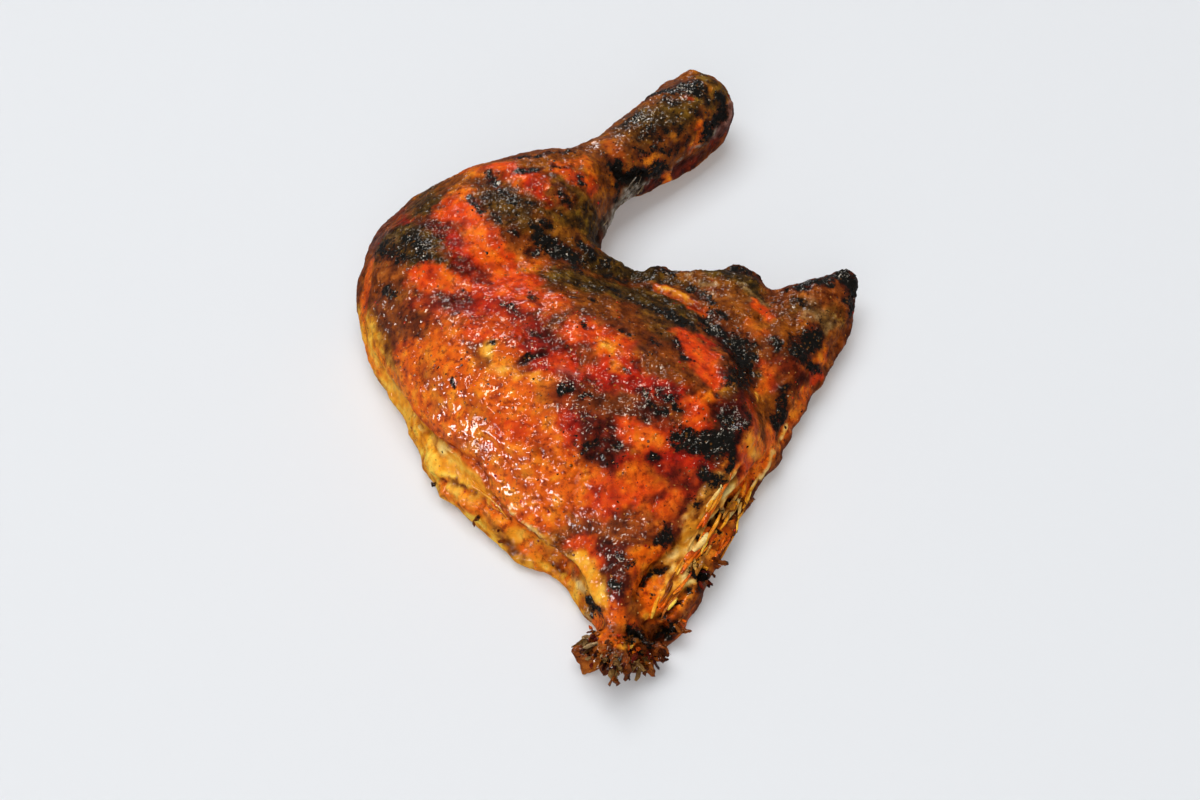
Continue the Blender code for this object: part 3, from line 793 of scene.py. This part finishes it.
def paint(points, normals, surface):
    """The share of each kind of surface at every point, and how burnt it is."""
    shares = np.zeros((len(points), len(KIND_ROWS)))
    burnt = np.zeros(len(points))
    moved = points + shifts(points, BROAD_WANDER, 2, (31, 34, 37))
    moved += shifts(points, FINE_WANDER, 1, (60, 61, 62))
    rough = sum(share * noise(points, size, 40 + i) for i, (share, size) in enumerate(FRAYS))
    for (kind, width, cover, ragged), stroke in strokes(FIELDS, surface):
        near, gap = brushed(moved, stroke, width)
        inside = EDGE - gap + RAGGED_SHIFT * ragged * rough[near]
        laid = cover * step01(0.5 + inside / (SOFTNESS + RAGGED_SOFTNESS * ragged))
        shares[near] *= (1 - laid)[:, None]
        shares[near, KIND_NAMES.index(kind)] += laid
    for (width, cover, ragged), stroke in strokes(CHARRED, surface):
        near, gap = brushed(moved, stroke, width)
        laid = cover * np.exp(-0.8 * gap**2) * (1 + 0.3 * ragged * rough[near])
        burnt[near] = np.maximum(burnt[near], laid)
    # The underside shows paler, drier meat and skin, browned in patches.
    under = step01((-normals[:, 2] - 0.25) / 0.5) * step01((14 - points[:, 2]) / 6)
    under *= step01((points[:, 1] - BROKEN_END) / 14)
    patch = step01(0.5 + fractal(points, 14.0, 3, 50))
    for kind, laid in (
        ("ochre", under * 0.85),
        ("brown", under * 0.8 * patch),
        ("dry", under * 0.6 * step01(0.2 + fractal(points, 8.0, 2, 54))),
    ):
        shares *= (1 - laid)[:, None]
        shares[:, KIND_NAMES.index(kind)] += laid
    return shares, np.clip(burnt, 0, 1)


def wetness(points, surface):
    """How wet the skin is, from 0 to 1."""
    moved = points + shifts(points, WET_WANDER, 2, (70, 73, 76))
    wet = DAMP * step01(0.5 + 1.5 * noise(points, 9.0, 80))
    for (width, amount), stroke in strokes(WET, surface):
        gap = off_stroke(moved, stroke) / width
        wet = np.maximum(wet, amount * step01(1.6 - gap))
    return wet


def blended(shares, column):
    """What each point gets of one of the columns of KINDS."""
    return shares @ np.array([float(row[1 + COLUMNS.index(column)]) for row in KIND_ROWS])


def colour_of(shares, mix):
    """Each point's colour, between its kinds' deep, middle and light ones as mix goes from -1 to 1."""
    tones = np.array([[linear([int(v) for v in word.split(",")]) for word in row[1:4]] for row in KIND_ROWS])
    deep, middle, light = (shares @ tones[:, i] for i in range(3))
    mix = np.clip(mix, -1, 1)[:, None]
    return np.where(mix < 0, middle + (middle - deep) * mix, middle + (light - middle) * mix)


def along_fibres(points):
    """The points drawn together along the run of the fibres, where noise then makes long strands."""
    by_hip = np.where(points[:, 0] > LEDGE_END, 1.0, 0.0)[:, None]
    along = HIP_RUN * by_hip + LEDGE_RUN * (1 - by_hip)
    return points - FIBRE_STRETCH * along * (points * along).sum(axis=1)[:, None]


def skin_relief(points, shares, burnt, stretched):
    """How far blisters, waves, grain and fibres move each point out, in millimetres."""
    blister, fibre, grain = (blended(shares, column) for column in ("blisters", "fibres", "grain"))
    blister += burnt * (CHAR_BLISTERS - blister)
    grain += burnt * (CHAR_GRAIN - grain)
    near = cells(points + 0.6 * noise(points, 2.0, 3)[:, None], BLISTER_SIZE, 4)
    bubbles = 1 - 1.6 * near[:, 0]
    cracks = np.clip((near[:, 1] - near[:, 0]) * 3, 0, 1)
    move = SKIN_WAVES[0] * fractal(points, SKIN_WAVES[1], 2, 10)
    move += blister * (bubbles + 0.6 * cracks - 0.6)
    move += grain * fractal(points, FINE_GRAIN_SIZE, 2, 12)
    return move + fibre * (1 - 2 * np.abs(noise(stretched, FIBRE_SIZE, 14))) * FIBRE_HEIGHT


def with_ridges(move, points, surface):
    """The move with streaks and lumps that stand out, and how much of a pool each point is in."""
    pooled = np.zeros(len(points))
    moved = points + 0.4 * noise(points, 2.5, 15)[:, None]
    uneven = 0.8 + 0.5 * noise(points, 3.0, 16)
    for (width, height), stroke in strokes(GLAZE_RIDGES, surface):
        gap = off_stroke(moved, stroke) / width
        move = move + height * np.exp(-(gap**2)) * uneven
        if width < WIDEST_POOL:
            pooled = np.maximum(pooled, step01(1.8 - gap))
    return move, pooled


def with_dents(move, points, surface):
    """The move with dents, and how deep in a dent each point is, from 0 to 1, which darkens the colour as
    painted shade.
    """
    dented = np.zeros(len(points))
    moved = points + 0.5 * noise(points, 2.0, 17)[:, None]
    for (width, depth), stroke in strokes(DENTS, surface):
        dent = np.exp(-((off_stroke(moved, stroke) / width) ** 2))
        move = move - depth * dent
        dented = np.maximum(dented, dent * min(1.0, depth / 2))
    return move, dented


def relieved(piece):
    """Paints the surface, raises its relief and stores what the material reads."""
    mesh = piece.data
    points, normals = coordinates(mesh), normals_of(mesh)
    surface = surface_of(piece)
    shares, burnt = paint(points, normals, surface)
    stretched = along_fibres(points)
    move = skin_relief(points, shares, burnt, stretched)
    move, pooled = with_ridges(move, points, surface)
    move, dented = with_dents(move, points, surface)
    move *= 1 - step01((RESTING - points[:, 2]) / RESTING)
    points = points + normals * move[:, None]
    points[:, 2] = np.maximum(points[:, 2], 0)
    set_coordinates(mesh, points)
    mix = 0.9 * noise(points, 4.2, 20) + 0.7 * noise(points, 1.9, 21)
    # Painted shade and light: the colour turns to its deep tone in the relief's hollows and dents and to its
    # light tone on the raised parts; along the fibres it streaks.
    mix += 0.35 * np.clip(move / 0.5, -1, 1) + 2.4 * blended(shares, "fibres") * noise(stretched, 1.7, 22)
    grit = np.maximum(burnt, blended(shares, "grit"))
    glaze = blended(shares, "glaze") * np.maximum(wetness(points, surface), GRITTY_WET * grit)
    glaze += burnt * (CHAR_GLAZE - glaze)
    # Painted shade: the colour is darker in dents and gaps, and darker the deeper they are.
    tint = colour_of(shares, mix) * (1 - DENT_PAINTED_SHADE * dented)[:, None]
    store(mesh, tint, glaze=glaze * (1 - DENT_DULL * dented), mottle=blended(shares, "mottle"), grit=grit,
          pooled=pooled, burnt=np.maximum(burnt, blended(shares, "flecks")))
    return surface, shares, burnt


class Nodes:
    """Makes and links shader nodes in a few words."""

    def __init__(self, name):
        self.material = bpy.data.materials.new(name)
        self.material.use_nodes = True
        self.tree = self.material.node_tree
        self.shader = self.tree.nodes["Principled BSDF"]
        self.place = self.make("ShaderNodeTexCoord").outputs["Object"]

    def make(self, kind, **settings):
        node = self.tree.nodes.new(kind)
        for name, value in settings.items():
            setattr(node, name, value)
        return node

    def put(self, value, socket):
        """Links or sets a socket; a name stands for one of the shader's."""
        if isinstance(socket, str):
            socket = self.shader.inputs[socket]
        if isinstance(value, bpy.types.NodeSocket):
            self.tree.links.new(value, socket)
        else:
            socket.default_value = value

    def read(self, name, output="Fac"):
        return self.make("ShaderNodeAttribute", attribute_name=name).outputs[output]

    def sum(self, operation, *values):
        node = self.make("ShaderNodeMath", operation=operation)
        for value, socket in zip(values, node.inputs):
            self.put(value, socket)
        return node.outputs[0]

    def times(self, *values):
        return self.sum("MULTIPLY", *values)

    def texture(self, kind, output, size, **numbers):
        node = self.make("ShaderNodeTex" + kind)
        self.put(self.place, node.inputs["Vector"])
        for name, value in dict(numbers, Scale=1 / (size * MM)).items():
            node.inputs[name].default_value = value
        return node.outputs[output]

    def grain(self, size, detail=2.0, roughness=0.55):
        """Noise from 0 to 1 whose lumps are about size millimetres across."""
        return self.texture("Noise", "Fac", size, Detail=detail, Roughness=roughness)

    def dots(self, size):
        """Distance from scattered points that are about size millimetres apart."""
        return self.texture("Voronoi", "Distance", size)

    def ramp(self, value, low, high, out_low=0.0, out_high=1.0):
        node = self.make("ShaderNodeMapRange", interpolation_type="SMOOTHSTEP")
        for item, socket in zip((value, low, high, out_low, out_high), node.inputs):
            self.put(item, socket)
        return node.outputs["Result"]

    def mixed(self, share, first, second, kind="MIX"):
        node = self.make("ShaderNodeMix", data_type="RGBA", blend_type=kind)
        self.put(share, node.inputs[0])
        self.put(first, node.inputs[6])
        self.put(second, node.inputs[7])
        return node.outputs[2]

    def bump(self, height, distance, strength, under=None):
        node = self.make("ShaderNodeBump")
        node.inputs["Distance"].default_value = distance * MM
        self.put(strength, node.inputs["Strength"])
        self.put(height, node.inputs["Height"])
        if under is not None:
            self.put(under, node.inputs["Normal"])
        return node.outputs["Normal"]


def skin_material():
    """Glazed skin, char and meat: the painted colours with fine mottling, burnt flecks and a wet coat."""
    n = Nodes("glazed_charred_skin")
    colour, mottle, grit, burnt = n.read("tint", "Color"), n.read("mottle"), n.read("grit"), n.read("burnt")
    shade = n.times(mottle, n.ramp(n.grain(1.8, 5, 0.68), 0.48, 0.66, 0, 0.95))
    colour = n.mixed(shade, colour, (0.26, 0.12, 0.07, 1), "MULTIPLY")
    lift = n.times(mottle, n.ramp(n.grain(1.3, 4, 0.7), 0.54, 0.68, 0, 1.0))
    colour = n.mixed(lift, colour, (1.4, 1.55, 1.35, 1), "MULTIPLY")
    uneven = n.times(n.sum("SUBTRACT", n.grain(3.0, 4, 0.6), 0.5), 0.9)
    smoked = n.ramp(n.sum("ADD", burnt, uneven), 0.14, 0.62)
    colour = n.mixed(smoked, colour, (0.34, 0.24, 0.13, 1), "MULTIPLY")
    edge = n.times(n.sum("SUBTRACT", n.grain(2.2, 6, 0.8), 0.5), 3.0)
    crust = n.ramp(n.sum("ADD", burnt, edge), 0.48, 0.72)
    colour = n.mixed(crust, colour, (*linear(CHAR_COLOUR), 1))
    crumbs = n.times(grit, n.ramp(n.dots(1.5), 0.18, 0.34, 0.4, 0.0))
    crumbs = n.times(crumbs, n.ramp(n.grain(2.4, 3, 0.6), 0.46, 0.58))
    colour = n.mixed(crumbs, colour, (*linear(CRUMB_COLOUR), 1))
    seed = n.times(n.ramp(n.dots(2.7), 0.06, 0.10, 0.6, 0.0), n.ramp(burnt, 0.2, 0.4, 1.0, 0.0))
    colour = n.mixed(seed, colour, (*linear(SEED_COLOUR), 1))
    n.put(colour, "Base Color")
    n.put(n.ramp(n.grain(1.2, 2), 0.3, 0.7, 0.42, 0.62), "Roughness")
    n.put(n.read("glaze"), "Coat Weight")
    n.put(0.045, "Coat Roughness")
    n.put(1.5, "Coat IOR")
    n.put(0.05, "Specular IOR Level")
    pooled = n.read("pooled")
    wet = n.bump(n.grain(3.6, 0), 0.8, n.ramp(pooled, 0, 1, 1.0, 0.5))
    patches = n.ramp(n.grain(9.0, 1), 0.42, 0.58, 0.35, 1.0)
    ruffled = n.times(patches, n.ramp(pooled, 0, 1, 1.0, 0.25))
    crest = n.sum("SUBTRACT", n.grain(2.8, 1), 0.5)
    wrinkled = n.bump(n.times(n.times(crest, crest), -9.0), 0.6, ruffled, wet)
    crumpled = n.bump(n.grain(1.6, 0.4), 0.32, ruffled, wrinkled)
    gritty = n.bump(n.times(n.dots(1.6), -1.0), 0.38, grit, crumpled)
    n.put(gritty, "Normal")
    n.put(gritty, "Coat Normal")
    return n.material


class Heap:
    """Collects many small closed shapes into one mesh, with the kind of surface of each point."""

    def __init__(self, name):
        self.name = name
        self.points, self.faces, self.kinds, self.tones, self.count = [], [], [], [], 0

    def add(self, points, faces, kind, tone):
        """Adds a shape in millimetres; tone goes from -1, its kind's deep colour, to 1, the light one."""
        self.faces += [[i + self.count for i in face] for face in faces]
        self.points.append(points)
        self.kinds += [KIND_NAMES.index(kind)] * len(points)
        self.tones.append(np.broadcast_to(tone, len(points)))
        self.count += len(points)

    def made(self, material, burnt=0.0, glaze=None, smooth=True):
        points = np.concatenate(self.points)
        points[:, 2] = np.maximum(points[:, 2], 0.05)
        mesh = bpy.data.meshes.new(self.name)
        mesh.from_pydata((points * MM).tolist(), [], self.faces)
        shares = np.eye(len(KIND_ROWS))[self.kinds]
        glaze = blended(shares, "glaze") if glaze is None else glaze
        store(mesh, colour_of(shares, np.concatenate(self.tones)), glaze=glaze, pooled=0.0, burnt=burnt,
              mottle=blended(shares, "mottle"), grit=blended(shares, "grit"))
        mesh.materials.append(material)
        if smooth:
            mesh.shade_smooth()
        piece = linked(self.name, mesh)
        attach(piece, "root")
        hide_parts("leg_quarter")


def tube(path, radii, sides, flat=1.0):
    """Points and faces of a closed tube round a path, pointed at both ends."""
    path = np.asarray(path, float)
    ahead = np.gradient(path, axis=0)
    ahead /= np.linalg.norm(ahead, axis=1)[:, None] + 1e-9
    side = np.cross(ahead, [0.1, 0.2, 1.0])
    side /= np.linalg.norm(side, axis=1)[:, None] + 1e-9
    over = np.cross(side, ahead)
    turn = np.arange(sides) * 2 * math.pi / sides
    rings = [
        p + r * (np.cos(turn)[:, None] * s + flat * np.sin(turn)[:, None] * o)
        for p, r, s, o in zip(path, radii, side, over)
    ]
    points = np.vstack([path[:1] - ahead[:1] * radii[0], *rings, path[-1:] + ahead[-1:] * radii[-1]])
    last = len(points) - 1
    faces = []
    for j in range(sides):
        k = (j + 1) % sides
        faces.append([0, 1 + k, 1 + j])
        for i in range(len(path) - 1):
            a, b = 1 + i * sides, 1 + (i + 1) * sides
            faces.append([a + j, a + k, b + k, b + j])
        faces.append([last, last - sides + j, last - sides + k])
    return points, faces


def ball_shape(divisions):
    """Points and faces of a round ball of radius 1."""
    bm = bmesh.new()
    bmesh.ops.create_icosphere(bm, subdivisions=divisions, radius=1)
    made = np.array([v.co for v in bm.verts]), [[v.index for v in f.verts] for f in bm.faces]
    bm.free()
    return made


def chip(draw, length, width, thickness, corners=8):
    """A jagged flat flake along X: points in millimetres round its middle, and faces."""
    rim = []
    for i in range(corners):
        turn = 2 * math.pi * (i + draw.uniform(-0.3, 0.3)) / corners
        reach = draw.uniform(0.6, 1.0)
        rim.append((reach * length / 2 * math.cos(turn), reach * width / 2 * math.sin(turn)))
    bend = draw.uniform(-0.25, 0.25) * length
    points = []
    for level in (-0.5, 0.5):
        for x, y in rim:
            points.append((x, y, level * thickness * draw.uniform(0.4, 1.0)))
        points.append((0, 0, level * thickness * 1.5))
    points = np.array(points)
    points[:, 2] += bend * (points[:, 0] / length) ** 2
    low, high = corners, 2 * corners + 1
    faces = []
    for i in range(corners):
        j = (i + 1) % corners
        faces.append([low, j, i])
        faces.append([high, corners + 1 + i, corners + 1 + j])
        faces.append([i, j, corners + 1 + j, corners + 1 + i])
    return points, faces


def frame_of(normal, along):
    """Three directions as rows: along the surface near along, across it, and out of it."""
    normal = normal / (np.linalg.norm(normal) + 1e-9)
    first = along - normal * (along @ normal)
    first = first / (np.linalg.norm(first) + 1e-9)
    return np.array([first, np.cross(normal, first), normal])


def strands(surface, material):
    """Torn fibres of meat: along the hip, in the web by the shank and on the lower left ledge."""
    draw = random.Random(11)
    heap = Heap("torn_fibres")
    for count, first, last, spread, length, radius, kinds in FIBRES:
        first, last = np.array(first, float), np.array(last, float)
        run = last - first
        far = np.linalg.norm(run)
        aside = np.array([-run[1], run[0]]) / far
        for _ in range(count):
            start = draw.uniform(-0.05, 1 - length / far)
            reach = draw.uniform(0.4, 1.0) * length / far
            off = draw.uniform(-spread, spread)
            drift = draw.uniform(-0.35, 0.35) * spread
            wave, lift = draw.uniform(0, 6), draw.uniform(0.0, 0.7)
            steps = max(5, int(10 * reach * far / 40))
            path = []
            for t in np.linspace(0, 1, steps):
                sway = 0.9 * math.sin(wave + 4 * t)
                pixel = first + run * (start + reach * t) + aside * (off + drift * t + sway)
                path.append(spot_of(surface, pixel) + np.array([0, -0.3, 1.0]) * (lift + 0.6 * t * lift))
            size = draw.uniform(*radius)
            radii = size * (0.35 + 0.65 * np.sin(np.linspace(0.25, 2.9, steps)))
            points, faces = tube(path, radii, 6, 0.7)
            tone = np.clip(draw.uniform(-0.4, 0.8) + 0.5 * np.sin(points[:, 1] + wave), -1, 1)
            heap.add(points, faces, draw.choice(kinds), tone)
    heap.made(material, burnt=0.05)


def shards(surface, material):
    """Brittle splinters of bone and dried meat that fan out from the broken end, and torn bits elsewhere."""
    draw = random.Random(5)
    uneven = np.random.default_rng(6)
    heap = Heap("broken_shards")
    lengthwise = np.outer([-0.5, -0.15, 0.2, 0.5], [1, 0, 0])
    for (count, from_turn, to_turn, *spans, kinds), (root,) in strokes(SHARDS, surface):
        for _ in range(int(count)):
            turn = math.radians(draw.uniform(from_turn, to_turn))
            tilt = math.radians(draw.uniform(-30, 35))
            level = math.cos(tilt)
            ahead = np.array([math.cos(turn) * level, math.sin(turn) * level, math.sin(tilt)])
            up = np.array([draw.uniform(-1, 1), draw.uniform(-1, 1), draw.uniform(0.2, 1)])
            long, wide = draw.uniform(*spans[:2]), draw.uniform(*spans[2:])
            swell = wide / 2 * np.array([0.8, 1.0, 0.85, draw.uniform(0.4, 0.9)])
            points, faces = tube(lengthwise * (long - wide), swell, 6, 0.5)
            points += uneven.uniform(-0.16, 0.16, points.shape) * wide
            jitter = np.array([draw.uniform(-2.4, 2.4), draw.uniform(-2.0, 2.0), draw.uniform(-1.5, 2.0)])
            place = root + jitter + ahead * long * 0.30
            kind = draw.choice(kinds.split("/"))
            heap.add(points @ frame_of(up, ahead) + place, faces, kind, draw.uniform(-0.9, 0.6))
    heap.made(material, burnt=0.34, smooth=False)


def scattered(name, piece, material, make, weights, count, size, seed, kinds, sink, **looks):
    """Small shapes over the piece, as dense as weights says, each made by make and turned to the surface."""
    draw = random.Random(seed)
    chosen = np.random.default_rng(seed).choice(len(weights), count, p=weights / weights.sum())
    points, normals = coordinates(piece.data), normals_of(piece.data)
    heap = Heap(name)
    for i in chosen:
        span = draw.uniform(*size)
        shape, faces = make(draw, span)
        along = np.array([draw.uniform(-1, 1) for _ in range(3)])
        axes = frame_of(normals[i], along)
        heap.add(shape @ axes + points[i] - normals[i] * span * sink, faces, draw.choice(kinds),
                 draw.uniform(-0.9, 0.9))
    heap.made(material, **looks)


def crumb(draw, span):
    """A jagged crumb of char, about as thick as half its span."""
    return chip(draw, span, span * draw.uniform(0.5, 0.9), span * draw.uniform(0.25, 0.5), 6)


BEAD = ball_shape(2)


def bead(draw, span):
    """A drop of glaze, lying flat."""
    points, faces = BEAD
    return points * np.array([span / 2, span / 2 * draw.uniform(0.6, 1.0), span * 0.22]), faces


def floor():
    bm = bmesh.new()
    bmesh.ops.create_grid(bm, x_segments=1, y_segments=1, size=3)
    plane = linked("floor", bpy.data.meshes.new("floor"))
    bm.to_mesh(plane.data)
    bm.free()
    n = Nodes("pale_floor")
    n.put((0.635, 0.65, 0.665, 1), "Base Color")
    n.put(0.0, "Specular IOR Level")
    n.put((0.97, 0.98, 1.0, 1), "Emission Color")
    n.put(0.165, "Emission Strength")
    n.put(0.6, "Roughness")
    plane.data.materials.append(n.material)
    plane.visible_glossy = False


# Lamps: name, direction, width and height in degrees, brightness and colour. Fills only light up, as if
# their light and the camera had crossed polarisers, and glints only glint.
FILLS = """
overhead -.16,.14,1 46,46 4.05 .99,.99,1
front -.15,-.8,.6 50,50 1.4 1,.99,.98
"""
GLINTS = """
window -.22,.52,.82 12,9 31 1,.9,.74
side -.62,-.04,.78 10,9 33 1,.94,.84
far .2,.42,.88 8,7 26 1,.88,.72
behind -.14,.92,.4 14,8 14 1,.99,.98
low -.91,-.36,.2 20,12 26 1,.99,.98
front_left -.58,-.65,.49 12,9 22 1,.99,.98
"""


def light(words, glints):
    name = words[0]
    direction, angles, (brightness,), colour = ([float(v) for v in word.split(",")] for word in words[1:])
    lamp = bpy.data.lights.new(name, "AREA")
    lamp.shape = "RECTANGLE"
    lamp.size, lamp.size_y = (2 * LIGHTS_AWAY * math.tan(math.radians(angle) / 2) for angle in angles)
    lamp.energy = brightness * math.pi * lamp.size * lamp.size_y
    lamp.color = colour
    holder = linked(name, lamp)
    away = Vector(direction).normalized()
    holder.location = away * LIGHTS_AWAY
    holder.rotation_euler = away.to_track_quat("Z", "Y").to_euler()
    holder.visible_glossy = glints
    holder.visible_diffuse = not glints


def studio():
    world = bpy.data.worlds.new("studio")
    bpy.context.scene.world = world
    world.use_nodes = True
    inputs = world.node_tree.nodes["Background"].inputs
    inputs["Color"].default_value = (0.93, 0.96, 1.0, 1)
    inputs["Strength"].default_value = 0.14
    for table, glints in ((FILLS, False), (GLINTS, True)):
        for line in table.strip().splitlines():
            light(line.split(), glints)
    bpy.context.scene.view_settings.view_transform = "Standard"


def camera():
    made = bpy.data.cameras.new("camera")
    made.sensor_width = SENSOR
    made.lens = LENS
    made.clip_start = 0.01
    holder = linked("camera", made)
    holder.location = Vector(CAMERA * MM)
    holder.rotation_euler = (math.pi / 2 - PITCH, 0, 0)
    bpy.context.scene.camera = holder


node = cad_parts["leg_quarter"]
body = remeshed(node)
surface, shares, burnt = relieved(body)
skin = skin_material()
body.data.materials.append(skin)
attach(body, "root")
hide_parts("leg_quarter")
facing_up = step01(normals_of(body.data)[:, 2] / 0.6)
red_or_brown = shares[:, [KIND_NAMES.index(kind) for kind in BROWNED]].sum(axis=1)
strands(surface, skin)
shards(surface, skin)
scattered("char_crumbs", body, skin, crumb, burnt**2 + 0.01 * facing_up, count=1500, size=(0.5, 1.5),
          seed=21, kinds=("wine", "olive"), sink=0.15, burnt=0.8, smooth=False)
scattered("pepper_flecks", body, skin, crumb, facing_up * (1 - burnt), count=320, size=(0.3, 0.65),
          seed=22, kinds=("wine", "olive"), sink=0.1, burnt=0.45, smooth=False)
scattered("glaze_beads", body, skin, bead, facing_up * red_or_brown * (1 - burnt) ** 2, count=700,
          size=(0.4, 1.1), seed=23, kinds=("red", "brown", "amber"), sink=0.10, glaze=1.0)
floor()
studio()
camera()
